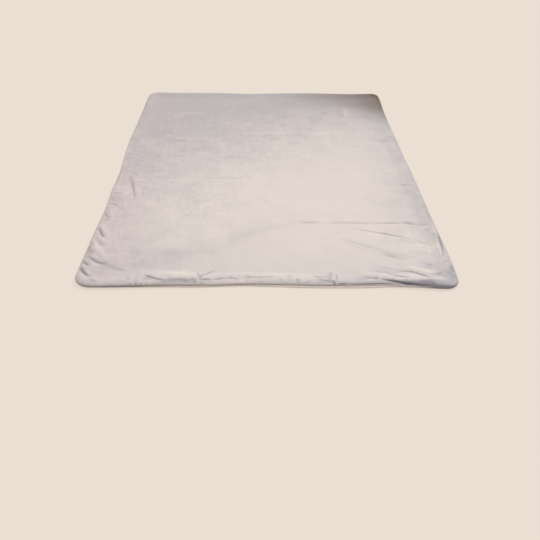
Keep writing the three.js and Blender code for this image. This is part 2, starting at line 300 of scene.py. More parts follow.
def wavering(along, wave_lengths, seed, height=1):
    """Sum of sine waves of these lengths and this height, each of a seeded phase."""
    draw = np.random.default_rng(seed)
    change = 0 * along
    for wave_length in wave_lengths:
        change = change + height * np.sin(2 * math.pi * (along / wave_length + draw.uniform()))
    return change


class Spot:
    """Where spots of the flat panel lie in plan.

    Squares about a corner's inner point become circles, which rounds the corner and keeps each
    spot's distance from the edge: inset. (out_x, out_y) is the way out to the edge.
    """

    def __init__(self, x, y):
        side_x = np.where(x < 0, -1.0, 1.0)
        side_y = np.where(y < 0, -1.0, 1.0)
        near = np.where(x < 0, CORNER_RADIUS["near_left"], CORNER_RADIUS["near_right"])
        far = np.where(x < 0, CORNER_RADIUS["far_left"], CORNER_RADIUS["far_right"])
        radius = np.where(y < 0, near, far)
        from_side = WIDTH / 2 - np.abs(x)
        from_end = LENGTH / 2 - np.abs(y)
        across = radius - from_side
        along = radius - from_end
        cornered = (across > 0) & (along > 0)
        ring = np.where(cornered, np.maximum(across, along), 1.0)
        quarter = math.pi / 4
        turn = np.where(across >= along, quarter * along / ring, quarter * (2 - across / ring))
        beside_long = from_side < from_end
        self.inset = np.where(cornered, radius - ring, np.minimum(from_side, from_end))
        self.out_x = np.where(cornered, side_x * np.cos(turn), side_x * beside_long)
        self.out_y = np.where(cornered, side_y * np.sin(turn), side_y * ~beside_long)
        self.x = np.where(cornered, side_x * (WIDTH / 2 - radius + ring * np.cos(turn)), x)
        self.y = np.where(cornered, side_y * (LENGTH / 2 - radius + ring * np.sin(turn)), y)

    def settled(self, inset, height):
        """The points (x, y, z) of the spots at another inset, carried by the outline's waves."""
        move = self.inset - inset
        wave_x, wave_y = waves(self.x, self.y)
        return np.stack(
            [
                self.x + self.out_x * move + wave_x - OFF_CENTRE[0],
                self.y + self.out_y * move + wave_y - OFF_CENTRE[1],
                height + 0 * move,
            ],
            axis=-1,
        )


def waves(x, y):
    """How far the outline's waves push spots out: a sum of bells along the sides."""
    push_x, push_y = 0 * x, 0 * y
    for side, at, reach, out in OUTLINE_WAVES:
        sign = OUTWARD[side]
        if side in LONG_SIDES:
            push = sign * out * bell(y - at, reach)
            push_x = push_x + push * bell(x - sign * WIDTH / 2, WAVE_DEPTH)
        else:
            push = sign * out * bell(x - at, reach)
            push_y = push_y + push * bell(y - sign * LENGTH / 2, WAVE_DEPTH)
    return push_x, push_y


def roll(x, y):
    """Crest height, reach and overhang of the edge's roll: steady, plus a bell at each place."""
    crest, reach, overhang = CREST_HEIGHT + 0 * x, ROLL_REACH + 0 * x, 0 * x
    for place_x, place_y, span_x, span_y, lift, widen, over in EDGE_PLACES:
        near = bell(x - place_x, span_x) * bell(y - place_y, span_y)
        crest = crest + lift * near
        reach = reach + widen * near
        overhang = overhang + over * near
    return crest, reach, np.minimum(overhang, 1)


def swell(x, y):
    """Height of the broad swells."""
    return with_patches(0 * x, x, y, SWELLS)


def crease(x, y, rows, taper=0.5):
    """Height of creases: a bell across each one's bowed way, times an arch along it.

    The arch is 4s(1 - s) to the power of taper, with s the share of the way.
    """
    height = 0 * x
    for from_x, from_y, to_x, to_y, half, rise, *bowed in rows:
        bow = sum(bowed)
        way_x, way_y = to_x - from_x, to_y - from_y
        length = math.hypot(way_x, way_y)
        share = np.clip(((x - from_x) * way_x + (y - from_y) * way_y) / length**2, 0, 1)
        arch = 4 * share * (1 - share)
        aside = ((y - from_y) * way_x - (x - from_x) * way_y) / length
        height = height + rise * arch**taper * bell(aside - bow * arch, half)
    return height


SHARP = 1.0  # taper of grooves and fine wrinkles, which end in points

WRINKLE_SEED = 7
# Fine wrinkles of the rolled edge: side, count, from and to along it, largest depth, lean in
# radians
RIM_WRINKLES = in_metres([
    ("near", 68, -560, 720, 1, 0),
    ("left", 54, -960, 400, 1, -0.9),
    ("left", 18, 300, 950, 0.6, -0.6),
    ("right", 46, -960, 900, 0.6, -1.1),
    ("far", 16, -700, 700, 0.5, 0),
], first=2, last=5)
# Ranges that each of them is drawn from
RIM_WRINKLE_OUTER = (0.004, 0.030)  # inset of its outer end
RIM_WRINKLE_LENGTH = (0.018, 0.062)
RIM_WRINKLE_SPREAD = 0.55  # of its slant about the lean, in radians
RIM_WRINKLE_BOW = (-0.004, 0.004)
RIM_WRINKLE_HALF = (0.0036, 0.0070)
RIM_WRINKLE_RISE = (-1, 0.8)  # share of the largest depth, below zero for a dip
# Faint wrinkles within: count, from and to in x, from and to in y
FIELD_WRINKLES = in_metres([
    (52, -660, 660, 280, 900),
    (34, -660, -150, -850, 280),
    (18, 480, 680, -880, -560),
], first=1)
FIELD_WRINKLE_LENGTH = (0.04, 0.16)
FIELD_WRINKLE_SPREAD = 0.8
FIELD_WRINKLE_HALF = (0.006, 0.012)
FIELD_WRINKLE_RISE = (-0.0003, 0.0004)


def fine_wrinkles():
    """Rows as of creases, drawn at random: short ones across the rim, fainter ones within."""
    draw = np.random.default_rng(WRINKLE_SEED)
    rows = []
    for side, count, start, end, deepest, lean in RIM_WRINKLES:
        sign = OUTWARD[side]
        for _ in range(count):
            along = draw.uniform(start, end)
            outer = draw.uniform(*RIM_WRINKLE_OUTER)
            length = draw.uniform(*RIM_WRINKLE_LENGTH)
            slant = lean + draw.normal(0, RIM_WRINKLE_SPREAD)
            bow = draw.uniform(*RIM_WRINKLE_BOW)
            half = draw.uniform(*RIM_WRINKLE_HALF)
            height = deepest * draw.uniform(*RIM_WRINKLE_RISE)
            inner = outer + length * math.cos(slant)
            further = along + length * math.sin(slant)
            if side in LONG_SIDES:
                across = WIDTH / 2
                ends = (sign * (across - outer), along, sign * (across - inner), further)
            else:
                across = LENGTH / 2
                ends = (along, sign * (across - outer), further, sign * (across - inner))
            rows.append((*ends, half, height, bow))
    for count, from_x, to_x, from_y, to_y in FIELD_WRINKLES:
        for _ in range(count):
            x, y = draw.uniform(from_x, to_x), draw.uniform(from_y, to_y)
            length = draw.uniform(*FIELD_WRINKLE_LENGTH)
            slant = draw.normal(0, FIELD_WRINKLE_SPREAD)
            reach_x, reach_y = length / 2 * math.cos(slant), length / 2 * math.sin(slant)
            half = draw.uniform(*FIELD_WRINKLE_HALF)
            height = draw.uniform(*FIELD_WRINKLE_RISE)
            rows.append((x - reach_x, y - reach_y, x + reach_x, y + reach_y, half, height))
    return rows


GROOVE_DARK = 0.0042  # depth at which a groove's painted shade is four fifths full
GROOVE_RATE = 1.6


def groove_shade(x, y):
    """Painted shade in the grooves, by their depth: 1 - exp(-GROOVE_RATE depth / GROOVE_DARK)."""
    depth = crease(x, y, GROOVES + PUCKERS, SHARP) - crease(x, y, fine_wrinkles(), SHARP)
    return 1 - np.exp(-GROOVE_RATE * np.maximum(depth, 0) / GROOVE_DARK)


UNEVEN_SEED = 11
UNEVEN_WAVES = 26
UNEVEN_LENGTHS = (0.07, 0.30)  # shortest and longest wave
UNEVEN_HEIGHT = 0.00055  # of all waves together, as a rule


def uneven(x, y):
    """Slight unevenness of laid plush: a sum of plane waves of seeded length and direction."""
    draw = np.random.default_rng(UNEVEN_SEED)
    height = 0 * x
    for _ in range(UNEVEN_WAVES):
        wave_length = draw.uniform(*UNEVEN_LENGTHS)
        way, phase = draw.uniform(0, 2 * math.pi, 2)
        count = 2 * math.pi / wave_length
        height = height + np.sin(count * (x * math.cos(way) + y * math.sin(way)) + phase)
    return height * UNEVEN_HEIGHT / math.sqrt(UNEVEN_WAVES)


# Ramps of painted shade, over which the pile darkens towards the far side, the long sides and the
# near side: most, share of x, share of y, and the values of their sum between which it rises
SHADE_RAMPS = [
    (1, -0.3, 1, -0.26, 1),  # towards the far side
    (0.58, -1, 0, -0.1, 0.85),  # towards the left side
    (0.4, 1, 0, 0.45, 0.8),  # towards the right side
    (0.16, 1, 0, 0.69, 0.735),  # on the right rim
    (0.16, 0, -1, 0.68, 0.9),  # towards the near side
]
# Patches of painted shade and, below zero, painted light, partly the pile's own tone: rows as of
# SWELLS, with the shade for the lift
SHADE_PATCHES = in_metres([
    # broad
    (-480, -560, 240, 300, -0.12),
    (-700, -50, 50, 280, 0.12),
    (-620, 800, 100, 80, 0.08),
    (620, -780, 160, 180, -0.14),
    (-100, 80, 200, 140, 0.06),
    (560, -380, 150, 160, 0.1),
    (350, 430, 330, 110, -0.08),
    (600, 150, 120, 120, 0.04),
    (220, 860, 200, 90, 0.25),
    (420, 660, 100, 80, 0.14),
    (730, 700, 30, 50, 0.2),
    (-600, 250, 70, 100, -0.11),
    (690, 220, 50, 140, -0.12),
    (-80, 200, 60, 60, 0.1),
    (0, 50, 80, 80, 0.07),
    (-620, -750, 150, 35, -0.14),
    (710, -850, 50, 50, -0.16),
    (0, -700, 100, 30, 0.1),
    (500, -700, 60, 30, 0.12),
    # left part of the field
    (-420, -775, 220, 24, 0.22),
    (-120, -668, 120, 34, 0.26, 34),
    (40, -583, 110, 24, 0.15, 19),
    (-480, -835, 200, 50, 0.14),
    (-640, -560, 60, 120, 0.1, 20),
    (-400, -917, 120, 14, -0.3, -3),
    (-425, 664, 130, 9, -0.32),
    (-130, 655, 110, 9, -0.2),
    (-330, 733, 70, 9, -0.2),
    (-180, 860, 80, 10, -0.2),
    (-450, -168, 200, 10, -0.18),
    (-100, -172, 120, 10, -0.12),
    (-430, 306, 100, 14, -0.18),
    (-450, 276, 120, 10, 0.15),
    (50, 352, 150, 7, 0.26),
    (120, 500, 90, 10, 0.08),
    (60, 390, 120, 14, -0.1),
    (-230, 180, 14, 120, -0.12),
    (-420, 150, 12, 160, -0.12),
    # right part of the field
    (505, 700, 16, 90, -0.28),
    (395, 650, 70, 12, -0.18, 58),
    (340, 600, 60, 12, 0.14, 52),
    (450, 610, 60, 12, 0.14, 60),
    (200, 440, 10, 90, 0.12),
    (660, -208, 60, 10, 0.2, -8),
    (660, 290, 80, 12, 0.16, -6),
    (708, 330, 30, 12, 0.24, -35),
    (732, 250, 12, 50, 0.22),
    (690, 150, 22, 16, 0.12),
    (622, -894, 50, 13, -0.3, -8),
    (460, -563, 200, 8, -0.25),
    (330, -250, 260, 220, -0.05),
    (520, -795, 60, 18, 0.3, -14),
    (420, -725, 110, 16, 0.1, -28),
    (480, -905, 70, 18, 0.25, -10),
    (445, -908, 30, 12, 0.25, -10),
    (362, -957, 35, 11, 0.6),
    (462, -961, 22, 8, 0.4, -15),
    (465, -995, 30, 6, -0.4),
    (-215, -989, 55, 10, -0.35),
    (-95, -979, 40, 10, -0.25),
    (-365, -983, 30, 10, -0.3),
    (-456, -981, 14, 10, -0.3),
    (-327, -966, 18, 10, -0.45),
    (-707, -696, 14, 16, -0.35),
    (-712, -620, 12, 16, -0.35),
    (-712, -756, 14, 16, -0.35),
    (-726, -340, 12, 12, -0.35),
    (-282, -960, 12, 8, 0.35),
    (605, -970, 30, 5, -0.35),
    (660, -855, 60, 16, 0.2, -12),
    (560, -690, 120, 12, 0.1, -4),
    # near rim
    (0, -972, 170, 18, 0.34),
    (-110, -962, 70, 14, -0.16),
    (300, -940, 40, 18, 0.18),
    (230, -970, 100, 22, 0.22),
    (380, -980, 100, 10, 0.5),
    (400, -940, 60, 12, 0.35, -8),
    (-345, -970, 70, 16, 0.76),
    (-714, -936, 28, 8, -0.45, -57),
    (-690, -948, 20, 10, 0.3, -45),
    (-700, -604, 16, 14, 0.3),
    (-742, 160, 16, 180, -0.58),
    (-160, -952, 90, 12, 0.22),
    (580, -980, 46, 4.8, 1.15),
    (690, -989.5, 34, 4.5, 0.9, 3),
    (622, -978.5, 14, 5, 0.7, 25),
    (685, -976.5, 50, 6.2, 0.95, -4),
    (725, -935, 24, 50, 0.25, 12),
    (742, -915, 12, 45, 0.4),
    (729, -890, 8, 26, 0.8),
    (722, -924, 16, 7, 0.6, -56),
    (-728, -690, 12, 45, -0.5),
    (690, -905, 40, 8, 0.25, 32),
    (745, -720, 12, 140, 0.12),
], last=4)


# Stretches of the edge with painted shade on the lower side of the roll: rows as of SWELLS, with
# a share for the lift, above 1 where the shade is full over more of its span
SEAM_SHADE_PLACES = in_metres([
    (-580, -1000, 150, 150, 0.7),
    (645, -1000, 34, 34, 0.3),
    (682, -1000, 62, 62, 1.25),
    (750, 760, 170, 170, 0.6),
    (750, 420, 200, 200, 0.3),
    (-750, 730, 110, 110, 0.45),
], last=4)
SEAM_SHADE_INSET = (0.011, 0.021)  # full painted shade up to the first inset, none from the second


def seam_shade(spot):
    """Painted shade on the lower side of the edge's roll, fading in from the edge."""
    share = with_patches(0 * spot.x, spot.x, spot.y, SEAM_SHADE_PLACES)
    return share * (1 - ease(spot.inset, *SEAM_SHADE_INSET))


def shade_and_nap(spot):
    """Painted shade, partly the pile's own tone: 0 lit and 1 shaded, as 1 - (1 - a)(1 - b)... over
    the ramps a, b and so on, plus the patches.
    """
    lit = 1
    for most, share_x, share_y, start, end in SHADE_RAMPS:
        lit = lit * (1 - most * ease(share_x * spot.x + share_y * spot.y, start, end))
    return with_patches(1 - lit, spot.x, spot.y, SHADE_PATCHES)


RAISED_FULL = 0.005  # height at which a crease's painted highlight is full
RAISED_LIGHT = 0.24  # how much painted light that gives


def raised(spot):
    """How raised the rim's creases are, as a share of RAISED_FULL: it sets their painted highlight.
    """
    return crease(spot.x, spot.y, RIM_CREASES, SHARP) / RAISED_FULL


EDGE_SHADE_SEED = 5
EDGE_SHADE_WAVES = (0.031, 0.047, 0.083, 0.171)  # wave lengths of its unevenness
EDGE_SHADE_CHANGE = 0.25  # height of each wave, as a share of the shade
EDGE_SHADE = {"near": 0.18, "left": 0.02, "far": 0.18, "right": 0.20}
LEFT_RIM_SHADE = 0.90  # painted shade on the left side, where it is strongest
NEAR_BAND = (0.018, 0.012)  # inset and span of the near side's shade
SHADE_INSET = {"left": (0.010, 0.020), "far": (0.012, 0.024), "right": (0.014, 0.036)}


def edge_shade(spot):
    """Painted shade on the roll's outer side: a sum over the sides, uneven.

    The near side has a band. The others are shaded up to the first inset and not beyond the
    second. The left side is shaded most in its near half and at a place far up.
    """
    change = wavering(spot.x + spot.y, EDGE_SHADE_WAVES, EDGE_SHADE_SEED)
    # Stretches where the left side's painted shade is strongest: its near half and a place far up
    left_shaded = 0.35 * ease(-spot.y, 0.11, 0.15) + 0.45 * ease(-spot.y, 0.40, 0.48)
    left_shaded = left_shaded + bell(spot.y - 0.71, 0.13)
    near = np.clip(-spot.out_y, 0, 1) * bell(spot.inset - NEAR_BAND[0], NEAR_BAND[1])
    left = np.clip(-spot.out_x, 0, 1) * (1 - ease(spot.inset, *SHADE_INSET["left"]))
    far = np.clip(spot.out_y, 0, 1) * (1 - ease(spot.inset, *SHADE_INSET["far"]))
    right = np.clip(spot.out_x, 0, 1) * (1 - ease(spot.inset, *SHADE_INSET["right"]))
    shade = EDGE_SHADE["near"] * near + left * (EDGE_SHADE["left"] + LEFT_RIM_SHADE * left_shaded)
    shade = shade + EDGE_SHADE["far"] * far + EDGE_SHADE["right"] * right
    return (1 + EDGE_SHADE_CHANGE * change) * shade


DUSK_FROM = (0.40, 0.745)  # a spot on the slanting line where the corner's painted shade starts
DUSK_WAY = (0.6, 0.8)  # the way square to that line, towards the corner
DUSK_RISE = 2.2  # how fast the painted shade grows along that way, for each metre
DUSK_SOFT = 0.04  # how gently it sets in
# Patches of painted shade on the far side: rows as of SWELLS, with a share for the lift
DUSK_PATCHES = in_metres([
    (260, 870, 170, 110, 0.07),
    (715, 985, 35, 14, 0.5),
], last=4)


def corner_shade(spot):
    """Painted shade at the far right corner.

    With b the way beyond the slanting line it grows as (b + sqrt(b^2 + DUSK_SOFT^2)) / 2, and
    more towards the long side and into the corner.
    """
    x, y = spot.x, spot.y
    beyond = DUSK_WAY[0] * (x - DUSK_FROM[0]) + DUSK_WAY[1] * (y - DUSK_FROM[1])
    even = DUSK_RISE * (beyond + np.sqrt(beyond**2 + DUSK_SOFT**2)) / 2
    side = 0.20 * bell(x - 0.67, 0.10) * bell(y - 0.78, 0.10)
    side = side + 0.25 * ease(x, 0.68, 0.76) * ease(y, 0.40, 0.75)
    corner = 0.27 * bell(x - 0.745, 0.05) * bell(y - 0.985, 0.05)
    patches = with_patches(0 * x, x, y, DUSK_PATCHES)
    return patches + (even + side + corner) * ease(beyond, -0.12, 0.02)


MARKS_MOST = 1.9
MARKS_LESS = 1.5  # how much weaker they are where the painted shade is lightest


def marks(spot):
    """How strongly the pile shows its brush marks: least where the painted shade is lightest."""
    x, y = spot.x, spot.y
    plain = ease(x - 0.3 * y, -0.15, 0.30) * ease(0.25 * x - y, -0.25, 0.10)
    plain = plain * (1 - ease(x, 0.50, 0.72))
    near_left = ease(-y, 0.45, 0.60) * ease(-x, 0, 0.15)
    return (MARKS_MOST - MARKS_LESS * plain) * (1 - 0.25 * near_left)


def bluish_shade(spot):
    """How bluish the painted shade is: towards the near right corner and along the right side."""
    x, y = spot.x, spot.y
    corner = ease(x, -0.10, 0.60) * ease(-y, 0.40, 0.90) * (1 - 0.35 * ease(x, 0.66, 0.74))
    side = 0.8 * ease(x, 0.52, 0.68) * ease(-y, -0.80, -0.50)
    return 1 - (1 - corner) * (1 - side)


def combed(spot):
    """How far the pile is combed across, with fine streaks and a rosy tint: on the left side."""
    return ease(-spot.x, 0.40, 0.64)


STITCH_PITCH = 0.008  # from one stitch to the next
GATHER_HEIGHT = 0.0004
GATHER_BAND = (0.030, 0.034)  # inset and span of the gathers
GATHER_LENGTHS = (2.1, 3.7)  # of their two ripples, in stitches


def gathers(x, y):
    """Fine gathers above the stretch sewn up by hand: two ripples across it that fade up the face.
    """
    along = ease(x, CLOSING_FROM - 0.02, CLOSING_FROM + 0.03)
    along = along * (1 - ease(x, CLOSING_TO - 0.03, CLOSING_TO + 0.02))
    up = bell(y + LENGTH / 2 - GATHER_BAND[0], GATHER_BAND[1])
    short, long = (length * STITCH_PITCH for length in GATHER_LENGTHS)
    ripple = np.sin(2 * math.pi * x / short) + 0.6 * np.sin(2 * math.pi * x / long + 1)
    return GATHER_HEIGHT * ripple * along * up


# Places where the seam lies higher on the roll's arc or, below zero, further under: rows as of
# SWELLS, with degrees along the arc for the lift
SEAM_PLACES = in_metres([
    (-100, -1000, 70, 70, -12),
    (-575, -1000, 65, 65, -20),
    (500, -1000, 85, 85, 34),
    (410, -1000, 80, 80, 28),
], last=4)
SEAM_WANDER_SEED = 3
SEAM_WANDER = 3.5  # degrees, for each wave
SEAM_WANDER_WAVES = (0.062, 0.110, 0.190, 0.370)


def roll_start(spot, overhang):
    """The seam's place on the roll's arc: further round where it hangs over, and wandering."""
    along = spot.x - 0.7 * spot.y
    turned = wavering(along, SEAM_WANDER_WAVES, SEAM_WANDER_SEED, SEAM_WANDER)
    turned = with_patches(turned, spot.x, spot.y, SEAM_PLACES)
    return ROLL_START + ROLL_DROOP * overhang + np.radians(turned)


DETAIL_FADE = 0.006  # inset within which the grooves and fine wrinkles fade out to the seam


def face_top(x, y):
    """Upper side of the face panel.

    Up to ROLL_STRIP from the seam it is an arc: inset = out + reach (1 - cos t) and height =
    crest - rise (1 - sin t), with t from the seam's place to a right angle. From there it eases
    down to the field over the rest of EDGE_BAND. Swells and creases are added in height, and
    gathers, fine wrinkles and grooves along the normals.
    """
    spot = Spot(x, y)
    at = spot.x, spot.y
    crest, reach, overhang = roll(*at)
    out = LIP_STEP * (1 - overhang)
    field = CLEARANCE + 2 * CLOTH
    relief = swell(*at) + crease(*at, RIM_CREASES + FIELD_CREASES) + uneven(*at)
    detail = gathers(*at) + crease(*at, fine_wrinkles(), SHARP)
    detail = detail - crease(*at, GROOVES + PUCKERS, SHARP)

    share = np.clip(spot.inset / ROLL_STRIP, 0, 1)
    start = roll_start(spot, overhang)
    turn = blend(start, math.pi / 2, share)
    seam = SEAM_HEIGHT - SEAM_DROOP * overhang
    arc_reach = np.where(turn < 0, ROLL_REACH, reach)
    arc_inset = out + arc_reach * (1 - np.cos(turn))
    arc_height = crest - (crest - seam) * (1 - np.sin(turn)) / (1 - np.sin(start))
    arc_height = arc_height + relief * share**2

    down = np.clip((spot.inset - ROLL_STRIP) / (EDGE_BAND - ROLL_STRIP), 0, 1)
    slope_inset = np.where(down < 1, blend(out + reach, EDGE_BAND, down), spot.inset)
    slope_height = blend(crest, field, ease(down, 0, 1)) + relief

    on_arc = spot.inset < ROLL_STRIP
    inset = np.where(on_arc, arc_inset, slope_inset)
    height = np.where(on_arc, arc_height, slope_height)
    points = spot.settled(inset, height)
    return points + normals(points) * (detail * ease(spot.inset, 0, DETAIL_FADE))[..., None]


def face_under(x, y):
    """Under side of the face panel: level below the turned-in hem, then lifted by the swells."""
    spot = Spot(x, y)
    _, _, overhang = roll(spot.x, spot.y)
    start = roll_start(spot, overhang)
    seam_inset = LIP_STEP * (1 - overhang) + ROLL_REACH * (1 - np.cos(start))
    share = np.clip(spot.inset / HEM_FULL, 0, 1)
    inset = np.where(share < 1, blend(seam_inset, HEM_FULL, share), spot.inset)
    level = SEAM_HEIGHT - SEAM_DROOP * overhang
    lowest = blend(level, CLOTH + CLEARANCE, ease(spot.inset, HEM_FULL, HEM_GONE))
    free = ease(spot.inset, HEM_GONE, 2 * HEM_GONE)
    return spot.settled(inset, lowest + swell(spot.x, spot.y) * free)


def back_top(x, y):
    """Upper side of the back panel: half round the lip, level over the allowance, then flat."""
    spot = Spot(x, y)
    _, _, overhang = roll(spot.x, spot.y)
    out = LIP_TUCK * overhang
    top = SEAM_HEIGHT - SEAM_DROOP * overhang - CLEARANCE
    turn = blend(-math.pi / 2, math.pi / 2, np.clip(spot.inset / LIP_STRIP, 0, 1))
    share = np.clip((spot.inset - LIP_STRIP) / (ALLOWANCE_FULL - LIP_STRIP), 0, 1)
    beyond = np.where(share < 1, blend(out + LIP_REACH, ALLOWANCE_FULL, share), spot.inset)
    on_lip = spot.inset < LIP_STRIP
    inset = np.where(on_lip, out + LIP_REACH * (1 - np.cos(turn)), beyond)
    fall = ease(spot.inset, ALLOWANCE_FULL, ALLOWANCE_GONE)
    height = np.where(on_lip, top / 2 * (1 + np.sin(turn)), blend(top, CLOTH, fall))
    return spot.settled(inset, height)


def back_under(x, y):
    """Under side of the back panel: flat on the ground."""
    spot = Spot(x, y)
    _, _, overhang = roll(spot.x, spot.y)
    share = np.clip(spot.inset / ALLOWANCE_FULL, 0, 1)
    rim = LIP_TUCK * overhang + LIP_REACH
    return spot.settled(np.where(share < 1, blend(rim, ALLOWANCE_FULL, share), spot.inset), 0)


def normals(points):
    """Unit normals of a grid of points: the cross product of its two central differences."""
    across = np.cross(np.gradient(points, axis=1), np.gradient(points, axis=0))
    return across / np.maximum(np.linalg.norm(across, axis=-1, keepdims=True), 1e-12)


OFF_CENTRE = (0.0, 0.0)  # taken off every spot in plan, and set once outline_centre() has run


def outline_centre():
    """Middle in plan of the panels' box, from rows of spots along their edges."""
    run_x = np.linspace(-WIDTH / 2, WIDTH / 2, 601)
    run_y = np.linspace(-LENGTH / 2, LENGTH / 2, 801)
    rim = []
    for surface, strip in ((face_top, ROLL_STRIP), (back_top, LIP_STRIP)):
        for inset in np.linspace(0, strip, 7):
            for sign in (-1, 1):
                edge_x = np.full((2, len(run_y)), sign * (WIDTH / 2 - inset))
                edge_y = np.full((2, len(run_x)), sign * (LENGTH / 2 - inset))
                rim.append(surface(edge_x, np.tile(run_y, (2, 1)))[0])
                rim.append(surface(np.tile(run_x, (2, 1)), edge_y)[0])
    points = np.concatenate(rim)
    return (points.min(0) + points.max(0))[:2] / 2


def edge_insets(arc_count, band_count):
    """Insets of the grid lines along an edge: over the roll's arc, then down to the field."""
    arc = np.linspace(0, ROLL_STRIP, arc_count + 1)
    return np.concatenate([arc, np.linspace(ROLL_STRIP, EDGE_BAND, band_count + 1)[1:]])


def grid_lines(size, first_insets, stretches, last_insets):
    """Grid lines across a panel: its first edge, stretches of (end, step), then its last edge."""
    lines = list(first_insets - size / 2)
    for end, step in stretches:
        count = max(1, round((end - lines[-1]) / step))
        lines.extend(np.linspace(lines[-1], end, count + 1)[1:])
    lines.extend(size / 2 - last_insets[-2::-1])
    return np.array(lines)


def whole_strides(lines, stride):
    """The same lines with a few more in the middle, so that stride divides their steps."""
    missing = -(len(lines) - 1) % stride
    middle = len(lines) // 2
    extra = np.linspace(lines[middle], lines[middle + 1], missing + 2)[1:-1]
    return np.insert(lines, middle + 1, extra)


UNDER_STRIDE = 4  # how much further apart the lines of the plainer under sides are


def squares(index, flip=False):
    """Four-cornered faces between neighbours in a grid of point numbers, turned over by flip."""
    low, high = index[..., :-1, :], index[..., 1:, :]
    corners = [low[..., :-1], low[..., 1:], high[..., 1:], high[..., :-1]]
    if flip:
        corners = [corners[0], *corners[:0:-1]]
    return np.stack(corners, -1).reshape(-1, 4)


def panel_mesh(name, lines_x, lines_y, upper, under, tones):
    """Closed mesh of a panel between its upper and its under side.

    The upper side has a point at every crossing of the lines, the under side at every
    UNDER_STRIDE-th one. A strip joins each point of the outline to the nearest of the under
    side's rim. The tones are attributes of the upper side, each with its rule.
    """
    stride = UNDER_STRIDE
    lines_x, lines_y = whole_strides(lines_x, stride), whole_strides(lines_y, stride)
    count_x, count_y = len(lines_x), len(lines_y)
    upper_points = upper(*np.meshgrid(lines_x, lines_y))
    below_x, below_y = lines_x[stride:-stride:stride], lines_y[stride:-stride:stride]
    under_points = under(*np.meshgrid(below_x, below_y))

    over = np.arange(count_x * count_y).reshape(count_y, count_x)
    low = over.size + np.arange(below_y.size * below_x.size).reshape(below_y.size, below_x.size)

    east, north = np.arange(count_x - 1), np.arange(count_y - 1)
    rim_i = np.concatenate([east, 0 * north + count_x - 1, east[::-1] + 1, 0 * north])
    rim_j = np.concatenate([0 * east, north, 0 * east + count_y - 1, north[::-1] + 1])
    rim = over[rim_j, rim_i]
    inner_i = np.clip(np.rint(rim_i / stride).astype(int) - 1, 0, len(below_x) - 1)
    inner_j = np.clip(np.rint(rim_j / stride).astype(int) - 1, 0, len(below_y) - 1)
    inner = low[inner_j, inner_i]
    rim_next, inner_next = np.roll(rim, -1), np.roll(inner, -1)
    outer_faces = np.stack([rim_next, rim, inner], -1)
    inner_faces = np.stack([rim_next, inner, inner_next], -1)[inner != inner_next]

    points = np.concatenate([upper_points.reshape(-1, 3), under_points.reshape(-1, 3)])
    quads = np.concatenate([squares(over), squares(low, flip=True)])
    triangles = np.concatenate([outer_faces, inner_faces])
    panel = mesh_of(name, points, quads, triangles)
    spot = Spot(*np.meshgrid(lines_x, lines_y))
    for tone, rule in tones.items():
        values = np.zeros(len(points), np.float32)
        values[: over.size] = rule(spot).ravel()
        panel.data.attributes.new(tone, "FLOAT", "POINT").data.foreach_set("value", values)
    return panel


def mesh_of(name, points, quads, triangles):
    """A smooth-shaded Blender object from whole arrays."""
    mesh = bpy.data.meshes.new(name)
    corners = np.concatenate([quads.ravel(), triangles.ravel()])
    triangle_starts = 4 * len(quads) + 3 * np.arange(len(triangles))
    starts = np.concatenate([4 * np.arange(len(quads)), triangle_starts])
    mesh.vertices.add(len(points))
    mesh.vertices.foreach_set("co", points.astype(np.float32).ravel())
    mesh.loops.add(len(corners))
    mesh.loops.foreach_set("vertex_index", corners.astype(np.int32))
    mesh.polygons.add(len(starts))
    mesh.polygons.foreach_set("loop_start", starts.astype(np.int32))
    mesh.update(calc_edges=True)
    mesh.validate()
    mesh.polygons.foreach_set("use_smooth", np.ones(len(mesh.polygons), bool))
    thing = bpy.data.objects.new(name, mesh)
    bpy.context.collection.objects.link(thing)
    return thing


class Signal:
    """A shader value that takes part in Python arithmetic: each operator adds a Math node."""

    def __init__(self, finish, socket):
        self.finish = finish
        self.socket = socket

    def math(self, operation, *values):
        return self.finish.node("ShaderNodeMath", {"operation": operation}, dict(enumerate(values)))

    def __add__(self, other):
        return self.math("ADD", self, other)

    __radd__ = __add__

    def __sub__(self, other):
        return self.math("SUBTRACT", self, other)

    def __mul__(self, other):
        return self.math("MULTIPLY", self, other)

    __rmul__ = __mul__

    def clamped(self):
        return self.finish.node("ShaderNodeClamp", {}, {"Value": self})


